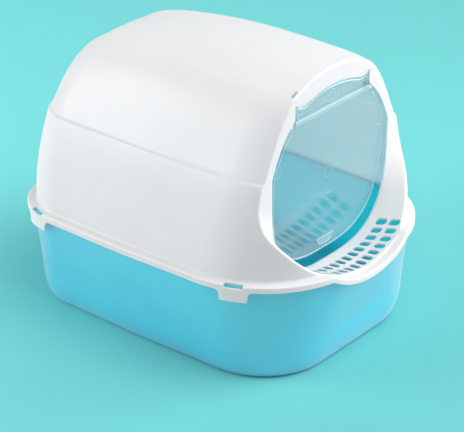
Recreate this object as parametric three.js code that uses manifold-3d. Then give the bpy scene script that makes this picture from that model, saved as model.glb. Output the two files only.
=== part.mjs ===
// Covered litter box: a blue tray, a white hood clipped onto it and a clear swing door.
// Millimetres, +Z up, the doorway faces -Y, the origin lies on the floor below the middle of the rim.
import * as THREE from 'three';
import { mergeVertices } from 'three/addons/utils/BufferGeometryUtils.js';
import Module from 'manifold-3d';

const wasm = await Module();
wasm.setup();

// Overall plan, taken at the outer edge of the hood's skirt
const length = 500;
const width = 394;
const frontCornerShare = 0.3756;
const frontCornerRadius = width * frontCornerShare;
const backCornerShare = 0.2259;
const backCornerRadius = width * backCornerShare;
const sideBow = 2.5;
const backBow = 7;

// Heights above the floor
const skirtBottom = 140;
const skirtHeight = 8;
const ridgeHeight = 278;
const crownHeightFront = 395.5;
const crownHeightMiddle = 400;
const crownHeightBack = 388.7;
const hingeDrop = 55.5;
const hingeHeight = crownHeightFront - hingeDrop;

// Entry dip in the front of the rim
const dipDepth = 23.6;
const dipShare = 0.2081;
const dipHalfWidth = width * dipShare;

// Hood shell
const hoodWall = 2.8;
const skirtThickness = 3;
const skirtRound = 1.6;
const flangeWidth = 13;
const flangeFillet = 3.5;
const wallLean = 25.1;
const wallLeanBack = 12.7;
const ridgeStep = 4.4;
const ridgeStepRise = 3;
const spineSetback = 141;
const entryDepth = 73;
const framePlane = entryDepth - length / 2;

// Doorway, an arched opening with a notch on each side where the door is hung; it is as wide as the
// width allows
const doorwayShare = 0.316;
const doorwayHalfWidth = width * doorwayShare;
const middleDrop = 132.5;
const doorwayMiddle = crownHeightFront - middleDrop;
const sillRise = 5;
const doorwaySill = skirtBottom - dipDepth + sillRise;
const shoulderRise = 16;
const doorwayShoulder = doorwayMiddle + shoulderRise;
const doorwayArcShare = 0.2673;
const doorwayArcX = width * doorwayArcShare;
const doorwayArcDrop = 78;
const doorwayArcZ = crownHeightFront - doorwayArcDrop;
const notchShare = 0.2056;
const notchHalfWidth = width * notchShare;
const notchRise = 4;
const notchHeight = hingeHeight + notchRise;
const earShare = 0.2005;
const earHalfWidth = width * earShare;
const earDrop = 29.7;
const earHeight = crownHeightFront - earDrop;
const dipDrop = 35.1;
const doorwayDip = crownHeightFront - dipDrop;
const topDrop = 24.5;
const doorwayTop = crownHeightFront - topDrop;

// Step in front of the doorway, and its two rows of drain holes
const holeLength = 17;
const holeWidth = 9.4;
const holePitchShare = 0.034;
const holePitch = width * holePitchShare;
const holesPerSide = 7;

// Clips that hold the hood down, each under a window in the flange
const clipDrop = 15;
const clipTopLength = 53;
const clipBottomLength = 37;
const windowLength = 26;
const windowDepth = 8;
const windowSkirtCut = 4.2;
const hookLength = 24;
const hookReach = 2.4;
const hookHeight = 4;
const frontClipAngle = 23.2;
const backClipAngle = 16.4;

// Slots through the shell beside the top corners of the frame
const shellSlotLength = 11;
const shellSlotWidth = 4.6;
const shellSlotShare = 0.1942;
const shellSlotX = width * shellSlotShare;
const shellSlotDrop = 15;
const shellSlotSetback = 5.5;

// Tray
const trayWall = 3;
const trayFloor = 3.2;
const trayRimWidth = 4.6;
const trayRimThickness = 3;
const footSideInset = 20.5;
const footFrontInset = 24;
const footBackInset = 18;
const footFrontRadiusCut = 40.5;
const footBackRadiusCut = 23;
const trayRoundWidth = 15.5;
const trayRoundHeight = 51;

// Door
const doorThickness = 2.4;
const doorRecess = 0.8;
const doorLean = 10.5;
const doorSideGap = 6.5;
const doorBottomGap = 8.5;
const doorTopGap = 1.4;
const doorEarGap = 2.2;
const beadWidth = 4;
const beadHeight = 1.1;
const shaftSetback = 6.5;
const shaftWidth = 7;
const shaftStand = 1.6;
const shaftEndGap = 2.5;
const doorNotchRadius = 9.4;
const pinRadius = 2.5;
const pinLength = 9;
const bearingWall = 3.6;
const bearingLength = 8;
const gripWidth = 38;
const gripDrop = 12;
const gripRise = 20;
const gripStand = 2.2;

// Clearances, and the length by which cutting solids run past what they cut
const seatGap = 0.3;
const skirtGap = 0.5;
const pinGap = 0.35;
const overrun = 60;

// Segments of a half outline, from the middle of the front to the middle of the back
const frontSegments = 6;
const kinkSegments = 3;
const frontArcSegments = 10;
const sideSegments = 6;
const backArcSegments = 8;
const backSegments = 3;
const sillSegments = 16;
const shoulderSegments = 6;
const roundSegments = 8;
const footSegments = 4;

const quarterTurn = Math.PI / 2;
const flangeTop = skirtBottom + skirtHeight;
const plateBottom = flangeTop - skirtThickness;
const trayTop = plateBottom - seatGap;
const trayRimInset = skirtThickness + skirtGap;
const trayWallInset = trayRimInset + trayRimWidth;
const belowRim = skirtBottom - dipDepth - overrun;

// Section of the hood above the ridge: how far in it has come, and how high it has risen
const vaultInShares = [0, 0.061, 0.13, 0.209, 0.293, 0.375, 0.442, 0.518, 0.609, 0.722, 0.861, 0.96];
const vaultRiseShares = [0, 0.153, 0.336, 0.514, 0.67, 0.779, 0.837, 0.877, 0.924, 0.971, 0.996, 0.999];
const wallShares = [0.25, 0.45, 0.62, 0.76, 0.89, 1];

// Where the scoop's crest runs, from the middle of the flange up to mid height of the doorway
const crestSpreadShares = [0.033, 0.033, 0.049, 0.049, 0.05, 0.06, 0.105, 0.166, 0.222, 0.234, 0.217];
const crestRiseShares = [0.03, 0.066, 0.09, 0.102, 0.084, 0.076, 0.077, 0.086, 0.083, 0.043, 0];
const scoopRunShare = 2;
const holeRowShares = [0.39, 0.78];

const rimPlan = {
  halfWidth: width / 2 - sideBow,
  front: -length / 2,
  back: length / 2 - backBow,
  frontRadius: frontCornerRadius,
  backRadius: backCornerRadius,
};

const trayFootPlan = {
  halfWidth: rimPlan.halfWidth - footSideInset,
  front: rimPlan.front + footFrontInset,
  back: rimPlan.back - footBackInset,
  frontRadius: frontCornerRadius - footFrontRadiusCut,
  backRadius: backCornerRadius - footBackRadiusCut,
};

const white = new THREE.MeshStandardMaterial({ color: 0xf1f0f1, roughness: 0.42, metalness: 0 });
const blue = new THREE.MeshStandardMaterial({ color: 0x5ecbe2, roughness: 0.4, metalness: 0 });
const clear = new THREE.MeshStandardMaterial({ color: 0xd2e6ec, roughness: 0.08, metalness: 0 });

// A ring is a closed loop of points that starts on the middle plane and is symmetric about it.
function closeRing(half) {
  const mirrored = half.slice(1, -1).reverse().map(([x, y, z]) => [-x, y, z]);
  return half.concat(mirrored);
}

function arc(points, x, y, radius, from, to, segments) {
  for (let i = 0; i <= segments; i++) {
    const angle = from + (to - from) * i / segments;
    points.push([x + radius * Math.cos(angle), y + radius * Math.sin(angle)]);
  }
}

// Half of a rounded plan outline, moved in by an inset, from the middle of the front to the back.
function halfOutline(plan, inset) {
  const frontX = plan.halfWidth - plan.frontRadius;
  const frontY = plan.front + plan.frontRadius;
  const backX = plan.halfWidth - plan.backRadius;
  const backY = plan.back - plan.backRadius;
  const kinkAngle = Math.asin((dipHalfWidth - (rimPlan.halfWidth - rimPlan.frontRadius)) / rimPlan.frontRadius);
  const points = [];
  for (let i = 0; i < frontSegments; i++) points.push([frontX * i / frontSegments, plan.front + inset]);
  const frontRadius = plan.frontRadius - inset;
  arc(points, frontX, frontY, frontRadius, -quarterTurn, kinkAngle - quarterTurn, kinkSegments);
  points.pop();
  arc(points, frontX, frontY, frontRadius, kinkAngle - quarterTurn, 0, frontArcSegments);
  for (let i = 1; i < sideSegments; i++) {
    const share = i / sideSegments;
    const bow = sideBow * Math.sin(Math.PI * share) ** 2;
    points.push([plan.halfWidth - inset + bow, frontY + (backY - frontY) * share]);
  }
  arc(points, backX, backY, plan.backRadius - inset, 0, quarterTurn, backArcSegments);
  for (let i = 1; i <= backSegments; i++) {
    const share = i / backSegments;
    const bow = backBow * Math.sin(quarterTurn * share) ** 2;
    points.push([backX * (1 - share), plan.back - inset + bow]);
  }
  return points;
}

// How far the rim dips below its level at each point of a half outline.
const dips = halfOutline(rimPlan, 0).map(([x, y]) => {
  const share = Math.min(1, Math.abs(x) / dipHalfWidth);
  return y < 0 ? dipDepth * (1 - share * share) : 0;
});

function ringAt(plan, inset, height, dipShare = 0) {
  return closeRing(halfOutline(plan, inset).map(([x, y], k) => [x, y, height - dips[k] * dipShare]));
}

// The triangles between each ring and the next, for a number of steps.
function skin(rings, steps) {
  const count = rings[0].length;
  const triangles = [];
  const at = (ring, k) => (ring % rings.length) * count + (k % count);
  for (let r = 0; r < steps; r++) {
    for (let k = 0; k < count; k++) {
      const corners = [at(r, k), at(r, k + 1), at(r + 1, k + 1), at(r + 1, k)];
      const turned = k < count / 2 ? corners : [...corners.slice(1), corners[0]];
      triangles.push([turned[0], turned[1], turned[2]], [turned[0], turned[2], turned[3]]);
    }
  }
  return triangles;
}

// A closed loop of material whose section runs from ring to ring: up outside and down inside.
function band(rings) {
  return solid(rings.flat(), skin(rings, rings.length));
}

// A closed solid through rings of equal count, each further along than the last and counterclockwise
// when seen from the far end.
function loft(rings) {
  const count = rings[0].length;
  const half = count / 2;
  const last = rings.length - 1;
  const triangles = skin(rings, last);
  const at = (ring, k) => ring * count + (k % count);
  for (let k = 0; k < half; k++) {
    const left = count - k;
    if (k > 0) {
      triangles.push([at(last, k), at(last, k + 1), at(last, left)], [at(0, k), at(0, left), at(0, k + 1)]);
    }
    if (k + 1 < half) {
      triangles.push([at(last, k + 1), at(last, left - 1), at(last, left)]);
      triangles.push([at(0, k + 1), at(0, left), at(0, left - 1)]);
    }
  }
  return solid(rings.flat(), triangles);
}

function solid(points, triangles) {
  const geometry = new THREE.BufferGeometry();
  geometry.setAttribute('position', new THREE.Float32BufferAttribute(points.flat(), 3));
  geometry.setIndex(triangles.flat());
  return toManifold(geometry);
}

function toManifold(geometry) {
  geometry.deleteAttribute('normal');
  geometry.deleteAttribute('uv');
  const merged = mergeVertices(geometry);
  return new wasm.Manifold(new wasm.Mesh({
    numProp: 3,
    vertProperties: new Float32Array(merged.attributes.position.array),
    triVerts: new Uint32Array(merged.index.array),
  }));
}

function toMesh(manifold, name, material) {
  const { vertProperties, triVerts } = manifold.getMesh();
  const geometry = new THREE.BufferGeometry();
  geometry.setAttribute('position', new THREE.BufferAttribute(new Float32Array(vertProperties), 3));
  geometry.setIndex(new THREE.BufferAttribute(new Uint32Array(triVerts), 1));
  geometry.computeVertexNormals();
  const mesh = new THREE.Mesh(geometry, material);
  mesh.name = name;
  return mesh;
}

// A box from its lowest to its highest corner.
function box(low, high) {
  const size = high.map((value, axis) => value - low[axis]);
  const geometry = new THREE.BoxGeometry(...size);
  geometry.translate(...low.map((value, axis) => value + size[axis] / 2));
  return geometry;
}

// A rod along X.
function rod(radius, fromX, toX, y, z) {
  const geometry = new THREE.CylinderGeometry(radius, radius, toX - fromX, 2 * roundSegments);
  geometry.rotateZ(quarterTurn);
  geometry.translate((fromX + toX) / 2, y, z);
  return toManifold(geometry);
}

function tableAt(table, share) {
  const place = Math.min(share, 1) * (table.length - 1);
  const index = Math.min(Math.floor(place), table.length - 2);
  return table[index] + (table[index + 1] - table[index]) * (place - index);
}

// The angles of the points on the lower half of the doorway, chosen so that they are evenly spaced.
const sillAngles = Array.from({ length: sillSegments + 1 }, (_, i) => {
  const up = i ** 1.5;
  return quarterTurn * up / (up + (sillSegments - i) ** 1.5);
});

// A point of the doorway's lower half with its outward direction, moved out by an amount.
function sillPoint(angle, out, sideGap = 0, bottomGap = 0) {
  const halfWidth = doorwayHalfWidth - sideGap;
  const drop = doorwayMiddle - doorwaySill - bottomGap;
  const across = Math.sin(angle) ** (2 / 3);
  const down = Math.max(Math.cos(angle), 0) ** (2 / 3);
  const normal = new THREE.Vector2(across ** 2 / halfWidth, -(down ** 2) / drop).normalize();
  return [halfWidth * across + out * normal.x, doorwayMiddle - drop * down + out * normal.y];
}

// Half of the doorway's edge, from the middle of the sill to the middle of the top, moved in by gaps.
function halfDoorway({ side = 0, bottom = 0, top = 0, ear = 0 } = {}) {
  const points = sillAngles.map((angle) => sillPoint(angle, 0, side, bottom));
  points.push([doorwayHalfWidth - side, doorwayShoulder]);
  const start = new THREE.Vector2(doorwayHalfWidth - side, doorwayShoulder);
  const end = new THREE.Vector2(notchHalfWidth - side, notchHeight);
  const middle = new THREE.Vector2(doorwayArcX - side, doorwayArcZ);
  const pull = middle.clone().multiplyScalar(2).sub(start.clone().add(end).divideScalar(2));
  const curve = new THREE.QuadraticBezierCurve(start, pull, end);
  for (let i = 1; i <= shoulderSegments; i++) {
    const point = curve.getPoint(i / shoulderSegments);
    points.push([point.x, point.y]);
  }
  points.push([earHalfWidth - ear, notchHeight + (earHeight - notchHeight) / 4]);
  points.push([earHalfWidth - ear, earHeight - top]);
  for (let i = 1; i <= roundSegments; i++) points.push(doorwayTopPoint(i / roundSegments, ear, top));
  return points;
}

// The wavy top edge, from an ear at 0 to the middle at 1: it sags beside the ear and then arches.
function doorwayTopPoint(share, ear, top) {
  const sagShare = 0.25;
  const x = (earHalfWidth - ear) * (1 - share);
  const past = Math.max(0, (share - sagShare) / (1 - sagShare));
  const before = Math.max(0, 1 - share / sagShare);
  const arch = doorwayDip + (doorwayTop - doorwayDip) * Math.sin(quarterTurn * past);
  return [x, arch + (earHeight - doorwayDip) * before ** 2 - top];
}

// The ring of a doorway-shaped outline at one depth, seen counterclockwise from the front.
function doorwayRing(half, depth) {
  return closeRing(half.map(([x, z]) => [x, depth, z]));
}

// Crown height above the ridge along the length; behind the spine's end it goes on falling.
function crownRise(y) {
  const back = length / 2 - spineSetback;
  const middle = (framePlane + back) / 2;
  const reach = (back - framePlane) / 2;
  const share = (y - middle) / reach;
  const end = share < 0 ? crownHeightFront : crownHeightBack;
  return crownHeightMiddle + (end - crownHeightMiddle) * share * share - ridgeHeight - ridgeStepRise;
}

// The rim's plan at a share of the wall's height: the higher, the more its sides and its back, but
// not its front, lean in.
function leanedPlan(share) {
  const lean = wallLean * share ** 1.8;
  const leanBack = wallLeanBack * share ** 1.5;
  return {
    halfWidth: rimPlan.halfWidth - lean,
    front: rimPlan.front,
    back: rimPlan.back - leanBack,
    frontRadius: rimPlan.frontRadius - wallLean * share,
    backRadius: rimPlan.backRadius - wallLeanBack * share,
  };
}

const ridgePlan = leanedPlan(1);

// One level of the vault: the ridge outline drawn in towards the spine, later at the back, and raised.
function vaultRing(level, wall) {
  const spineEnd = length / 2 - spineSetback;
  const inShare = vaultInShares[level];
  const riseShare = vaultRiseShares[level];
  const base = halfOutline(ridgePlan, flangeWidth + ridgeStep + wall);
  return closeRing(base.map(([x, y]) => {
    const levelY = y + (Math.min(y, spineEnd) - y) * inShare ** 1.5;
    const rise = (crownRise(levelY) - wall) * riseShare;
    return [x * (1 - inShare), levelY, ridgeHeight + ridgeStepRise + rise];
  }));
}

const wallFoot = flangeTop + flangeFillet;

function wallRings(wall) {
  return wallShares.map((share) => {
    const height = wallFoot + (ridgeHeight - wallFoot) * share;
    return ringAt(leanedPlan(share), flangeWidth + wall, height, 1 - share);
  });
}

// The outline in which the wall ends at the top of the ridge.
function ridgeRing(wall, height) {
  return ringAt(ridgePlan, flangeWidth + ridgeStep + wall, height);
}

function vault(wall) {
  const rings = vaultInShares.map((_, level) => vaultRing(level, wall));
  return loft([ridgeRing(wall, ridgeHeight - ridgeStep), ...rings]);
}

// The skirt, the flange and the wall up to the ridge, filled.
function lowerBody() {
  const corner = 1 - Math.SQRT1_2;
  return loft([
    ringAt(rimPlan, 0, belowRim),
    ringAt(rimPlan, 0, flangeTop - skirtRound, 1),
    ringAt(rimPlan, skirtRound * corner, flangeTop - skirtRound * corner, 1),
    ringAt(rimPlan, skirtRound, flangeTop, 1),
    ringAt(rimPlan, flangeWidth - flangeFillet, flangeTop, 1),
    ringAt(rimPlan, flangeWidth - flangeFillet * corner, flangeTop + flangeFillet * corner, 1),
    ...wallRings(0),
    ridgeRing(0, ridgeHeight + ridgeStepRise),
  ]);
}

// What lies below the skirt's lower edge.
function belowSkirt() {
  return band([
    ringAt(rimPlan, -skirtGap, belowRim - overrun),
    ringAt(rimPlan, -skirtGap, skirtBottom, 1),
    ringAt(rimPlan, skirtThickness + skirtGap, skirtBottom, 1),
    ringAt(rimPlan, skirtThickness + skirtGap, belowRim - overrun),
  ]);
}

// The space inside the skirt and the wall, open below.
function lowerCavity() {
  return loft([
    ringAt(rimPlan, skirtThickness, belowRim - overrun),
    ringAt(rimPlan, skirtThickness, plateBottom, 1),
    ringAt(rimPlan, flangeWidth + hoodWall, plateBottom, 1),
    ...wallRings(hoodWall),
    ridgeRing(hoodWall, ridgeHeight + ridgeStepRise),
  ]);
}

// The point of the scoop's crest that belongs to a point of the doorway's lower half.
function crestPoint(angle) {
  const share = angle / quarterTurn;
  const [sillX, sillZ] = sillPoint(angle, 0);
  const x = sillX * (1 + tableAt(crestSpreadShares, share));
  const z = sillZ + (doorwayMiddle - doorwaySill) * tableAt(crestRiseShares, share);
  const up = THREE.MathUtils.clamp(THREE.MathUtils.inverseLerp(wallFoot, ridgeHeight, z), 0, 1);
  const plan = leanedPlan(up);
  const radius = plan.frontRadius - flangeWidth;
  const past = Math.max(0, x - (plan.halfWidth - plan.frontRadius));
  return [x, plan.front + plan.frontRadius - Math.sqrt(radius ** 2 - past ** 2), z];
}

// The ruling of the scoop at a point of the sill: from the doorway's edge to the crest.
function scoopRuling(angle) {
  const [sillX, sillZ] = sillPoint(angle, 0);
  const [x, y, z] = crestPoint(angle);
  return [x - sillX, Math.min(y, framePlane) - framePlane, z - sillZ];
}

// Everything that the scoop leaves open in front of the doorway, moved back and out by a wall.
function scoopSpace(wall) {
  const back = framePlane + wall;
  const top = crownHeightMiddle + overrun;
  const ahead = -length / 2 - 2 * overrun;
  const near = sillAngles.map((angle) => {
    const [x, z] = sillPoint(angle, wall);
    return [x, back, z];
  });
  const along = (share) => sillAngles.map((angle, i) => {
    const ruling = scoopRuling(angle);
    return near[i].map((value, axis) => value + share * ruling[axis]);
  });
  const far = along(scoopRunShare);
  const close = (points, y) => {
    const side = points[sillSegments][0];
    return closeRing([...points, [side, y, top], [0, y, top]]);
  };
  return loft([
    close(near, back),
    close(along(1), back),
    close(far, back),
    close(far.map(([x, , z]) => [x, ahead, z]), ahead),
  ]);
}

// An upright outline in a clip's own plane, run through the rim along the outward direction.
function clipPrism(place, outline, inward, outward) {
  const shape = new THREE.Shape(outline.map(([along, up]) => new THREE.Vector2(along, up)));
  const geometry = new THREE.ExtrudeGeometry(shape, { depth: inward + outward, bevelEnabled: false });
  geometry.translate(0, 0, -inward);
  const tangent = new THREE.Vector3(-place.normal.y, place.normal.x, 0);
  const up = new THREE.Vector3(0, 0, 1);
  const basis = new THREE.Matrix4().makeBasis(tangent, up, place.normal);
  basis.setPosition(place.point);
  geometry.applyMatrix4(basis);
  return toManifold(geometry);
}

// Where the four clips sit on the rim, two on each side.
function clipPlaces() {
  const places = [];
  const corners = [
    [frontCornerRadius, rimPlan.front + frontCornerRadius, -frontClipAngle],
    [backCornerRadius, rimPlan.back - backCornerRadius, backClipAngle],
  ];
  for (const [radius, centreY, degrees] of corners) {
    const angle = THREE.MathUtils.degToRad(degrees);
    for (const side of [-1, 1]) {
      const normal = new THREE.Vector3(side * Math.cos(angle), Math.sin(angle), 0);
      const centre = new THREE.Vector3(side * (rimPlan.halfWidth - radius), centreY, 0);
      places.push({ normal, point: centre.addScaledVector(normal, radius) });
    }
  }
  return places;
}

// A straight length across a clip, between two heights, as an outline for clipPrism.
function clipSpan(span, low, high) {
  return [[-span / 2, low], [span / 2, low], [span / 2, high], [-span / 2, high]];
}

function clipTabs() {
  const low = skirtBottom - clipDrop;
  const high = skirtBottom + skirtThickness;
  const strip = band([
    ringAt(rimPlan, 0, low),
    ringAt(rimPlan, 0, high),
    ringAt(rimPlan, skirtThickness, high),
    ringAt(rimPlan, skirtThickness, low),
  ]);
  const outline = [
    [-clipBottomLength / 2, low - overrun],
    [clipBottomLength / 2, low - overrun],
    [clipBottomLength / 2, low],
    [clipTopLength / 2, skirtBottom],
    [clipTopLength / 2, high + overrun],
    [-clipTopLength / 2, high + overrun],
    [-clipTopLength / 2, skirtBottom],
    [-clipBottomLength / 2, low],
  ];
  return clipPlaces().map((place) => strip.intersect(clipPrism(place, outline, overrun, overrun)));
}

// The snap hooks on the inner faces of the clips, which grip under the tray's rim.
function clipHooks() {
  const top = trayTop - trayRimThickness - seatGap;
  const low = top - hookHeight;
  const strip = band([
    ringAt(rimPlan, skirtThickness / 2, low),
    ringAt(rimPlan, skirtThickness / 2, top),
    ringAt(rimPlan, skirtThickness + hookReach, top),
    ringAt(rimPlan, skirtThickness + hookReach, top - hookHeight / 3),
    ringAt(rimPlan, skirtThickness, low),
  ]);
  const outline = clipSpan(hookLength, low - overrun, top + overrun);
  return clipPlaces().map((place) => strip.intersect(clipPrism(place, outline, overrun, overrun)));
}

// The windows in the flange above the hooks, each cutting a little into the skirt's top.
function clipWindows() {
  const edge = flangeTop - windowSkirtCut;
  const outline = clipSpan(windowLength, edge, flangeTop + flangeFillet);
  const through = clipSpan(windowLength, plateBottom - seatGap, flangeTop + flangeFillet);
  return clipPlaces().flatMap((place) => [
    clipPrism(place, outline, windowDepth, overrun),
    clipPrism(place, through, windowDepth, -skirtThickness),
  ]);
}

// A drain hole: an upright prism with round ends that lies along a direction in plan.
function drainHole(x, y, angle) {
  const radius = holeWidth / 2;
  const straight = holeLength / 2 - radius;
  const shape = new THREE.Shape();
  shape.absarc(straight, 0, radius, -quarterTurn, quarterTurn, false);
  shape.absarc(-straight, 0, radius, quarterTurn, 2 * Math.PI - quarterTurn, false);
  const options = { depth: 2 * overrun, bevelEnabled: false, curveSegments: roundSegments / 2 };
  const geometry = new THREE.ExtrudeGeometry(shape, options);
  geometry.rotateZ(angle);
  geometry.translate(x, y, skirtBottom - dipDepth - overrun);
  return toManifold(geometry);
}

// The two rows follow the sill, each hole lying along the way the scoop runs there.
function drainHoles() {
  const holes = [];
  for (const share of holeRowShares) {
    for (let i = 0; i < holesPerSide; i++) {
      const sillX = holePitch * (i + 1 / 2);
      const angle = Math.asin((sillX / doorwayHalfWidth) ** (3 / 2));
      const [outward, forward] = scoopRuling(angle);
      const y = framePlane + share * forward;
      for (const side of [-1, 1]) {
        const x = side * (sillX + share * outward);
        holes.push(drainHole(x, y, Math.atan2(forward, side * outward)));
      }
    }
  }
  return holes;
}

// The bearings behind the frame that take the door's pins.
const shaftY = framePlane + shaftSetback;
const shaftEnd = notchHalfWidth - shaftEndGap;
const bearingRadius = pinRadius + pinGap + bearingWall;
const bearingStart = notchHalfWidth + skirtGap;

function bearings() {
  const front = framePlane + hoodWall / 2;
  const ahead = box([-width, framePlane - overrun, 0], [width, front, crownHeightMiddle]);
  return [-1, 1].map((side) => {
    const near = side * bearingStart;
    const far = side * (bearingStart + bearingLength);
    const low = [Math.min(near, far), front, hingeHeight];
    const high = [Math.max(near, far), shaftY, hingeHeight + bearingRadius];
    const eye = rod(bearingRadius, low[0], high[0], shaftY, hingeHeight);
    return eye.add(toManifold(box(low, high))).subtract(toManifold(ahead));
  });
}

function pinHoles() {
  const radius = pinRadius + pinGap;
  const end = bearingStart + bearingLength + hoodWall;
  return [
    rod(radius, -end, -notchHalfWidth + bearingWall, shaftY, hingeHeight),
    rod(radius, notchHalfWidth - bearingWall, end, shaftY, hingeHeight),
  ];
}

function shellSlots() {
  return [-1, 1].map((side) => {
    const size = [shellSlotLength, shellSlotWidth, shellSlotLength];
    const geometry = new THREE.BoxGeometry(...size);
    geometry.rotateY(side * quarterTurn / 2);
    geometry.translate(side * shellSlotX, framePlane + shellSlotSetback, crownHeightFront - shellSlotDrop);
    return toManifold(geometry);
  });
}

function hood() {
  const outer = lowerBody().add(vault(0)).subtract(scoopSpace(0));
  const cavity = lowerCavity().add(vault(hoodWall)).subtract(scoopSpace(hoodWall));
  const doorway = halfDoorway();
  const opening = loft([
    doorwayRing(doorway, framePlane + 2 * hoodWall),
    doorwayRing(doorway, framePlane),
  ]);
  const added = [...clipTabs(), ...clipHooks(), ...bearings()];
  const cut = [opening, ...clipWindows(), ...drainHoles(), ...pinHoles(), ...shellSlots()];
  const shell = outer.subtract(cavity).subtract(belowSkirt());
  const joined = added.reduce((whole, piece) => whole.add(piece), shell);
  const finished = cut.reduce((whole, piece) => whole.subtract(piece), joined);
  return toMesh(finished, 'hood', white);
}

// The tray's outline at a share of the height between its rounded foot and its rim.
function trayRing(share, wall) {
  const low = halfOutline(trayFootPlan, wall);
  const high = halfOutline(rimPlan, trayWallInset + wall);
  return closeRing(high.map(([x, y], k) => {
    const [lowX, lowY] = low[k];
    const height = trayRoundHeight + (trayTop - dips[k] - trayRoundHeight) * share;
    return [lowX + (x - lowX) * share, lowY + (y - lowY) * share, height];
  }));
}

// The rings of the rounded foot, from the floor up.
function footRings(wall, floor) {
  const rings = [];
  for (let i = 0; i < footSegments; i++) {
    const angle = quarterTurn * (1 - i / footSegments);
    const inset = trayRoundWidth - (trayRoundWidth - wall) * Math.cos(angle);
    const height = trayRoundHeight - (trayRoundHeight - floor) * Math.sin(angle);
    rings.push(ringAt(trayFootPlan, inset, height));
  }
  return rings;
}

// The flat rim around the tray's mouth, and what lies above it.
function trayRim() {
  const inner = trayWallInset + trayWall / 2;
  return band([
    ringAt(rimPlan, trayRimInset, trayTop - trayRimThickness, 1),
    ringAt(rimPlan, trayRimInset, trayTop, 1),
    ringAt(rimPlan, inner, trayTop, 1),
    ringAt(rimPlan, inner, trayTop - trayRimThickness, 1),
  ]);
}

function aboveTray() {
  const inner = trayWallInset + 2 * trayWall;
  return band([
    ringAt(rimPlan, 0, trayTop, 1),
    ringAt(rimPlan, 0, trayTop + 2 * overrun),
    ringAt(rimPlan, inner, trayTop + 2 * overrun),
    ringAt(rimPlan, inner, trayTop, 1),
  ]);
}

// A tray-shaped solid, moved in by a wall and up by a floor, that runs on above the rim.
function trayBody(wall, floor, above) {
  return loft([
    ...footRings(wall, floor),
    trayRing(0, wall),
    trayRing(1 / 2, wall),
    trayRing(1, wall),
    ringAt(rimPlan, trayWallInset + wall, trayTop + above),
  ]);
}

function tray() {
  const inside = trayBody(trayWall, trayFloor, 2 * overrun);
  const shell = trayBody(0, 0, overrun).add(trayRim()).subtract(inside).subtract(aboveTray());
  return toMesh(shell, 'tray', blue);
}

// The door's depth behind the frame at a height: it hangs leaning in below its shaft.
function doorDepth(z) {
  const below = Math.max(0, hingeHeight - z);
  return framePlane + doorRecess + doorLean * below / (hingeHeight - doorwaySill);
}

// A plate of the door between two distances behind its front face.
function doorPlate(half, from, to) {
  const ring = (depth) => closeRing(half.map(([x, z]) => [x, doorDepth(z) + depth, z]));
  return loft([ring(to), ring(from)]);
}

// The part of a door outline above or below the shaft, closed along the shaft.
function lowerHalfOutline(half, top) {
  const kept = half.filter(([, z]) => z < top);
  const [lastX] = kept[kept.length - 1];
  return [...kept, [lastX, top], [0, top]];
}

function upperHalfOutline(half, bottom) {
  const kept = half.filter(([, z]) => z > bottom);
  const [firstX] = kept[0];
  return [[0, bottom], [firstX, bottom], ...kept];
}

// The raised bead that runs along the inside of an outline's edge.
function bead(half, low, high) {
  const middle = (low + high) / 2;
  const outer = doorPlate(half, -beadHeight, doorThickness / 2);
  const inner = half.map(([x, z]) => {
    const inX = Math.max(0, x - beadWidth);
    const inZ = middle + (z - middle) * (1 - 2 * beadWidth / (high - low));
    return [inX, inZ];
  });
  return outer.subtract(doorPlate(inner, -overrun, overrun));
}

// The half-moon finger grip low on the door's front.
function grip() {
  const top = doorwaySill + doorBottomGap + gripRise;
  const half = [[0, top - gripDrop]];
  for (let i = 1; i < roundSegments; i++) {
    const angle = quarterTurn * i / roundSegments;
    half.push([gripWidth / 2 * Math.sin(angle), top - gripDrop * Math.cos(angle)]);
  }
  half.push([gripWidth / 2, top], [0, top]);
  return doorPlate(half, -gripStand, doorThickness / 2);
}

// The room that the door's plates leave around the bearings, so that the door can swing past them.
function bearingNotches() {
  const end = doorwayHalfWidth + overrun;
  return [
    rod(doorNotchRadius, -end, -shaftEnd, shaftY, hingeHeight),
    rod(doorNotchRadius, shaftEnd, end, shaftY, hingeHeight),
  ];
}

function shaft() {
  const front = framePlane + doorRecess - shaftStand;
  const low = [-shaftEnd, front, hingeHeight - shaftWidth / 2];
  const high = [shaftEnd, shaftY + pinRadius, hingeHeight + shaftWidth / 2];
  const pins = rod(pinRadius, -shaftEnd - pinLength, shaftEnd + pinLength, shaftY, hingeHeight);
  return toManifold(box(low, high)).add(pins);
}

function door() {
  const outline = halfDoorway({
    side: doorSideGap,
    bottom: doorBottomGap,
    top: doorTopGap,
    ear: doorEarGap,
  });
  const lower = lowerHalfOutline(outline, hingeHeight);
  const upper = upperHalfOutline(outline, hingeHeight);
  const plates = doorPlate(lower, 0, doorThickness)
    .add(doorPlate(upper, 0, doorThickness))
    .add(bead(lower, doorwaySill + doorBottomGap, hingeHeight));
  const notched = bearingNotches().reduce((whole, notch) => whole.subtract(notch), plates);
  return toMesh(notched.add(shaft()).add(grip()), 'door', clear);
}

const litterBox = new THREE.Group();
litterBox.add(tray(), hood(), door());
export default litterBox;
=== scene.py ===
import math

import bpy
import numpy as np
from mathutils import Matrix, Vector
from mathutils.bvhtree import BVHTree


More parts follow.
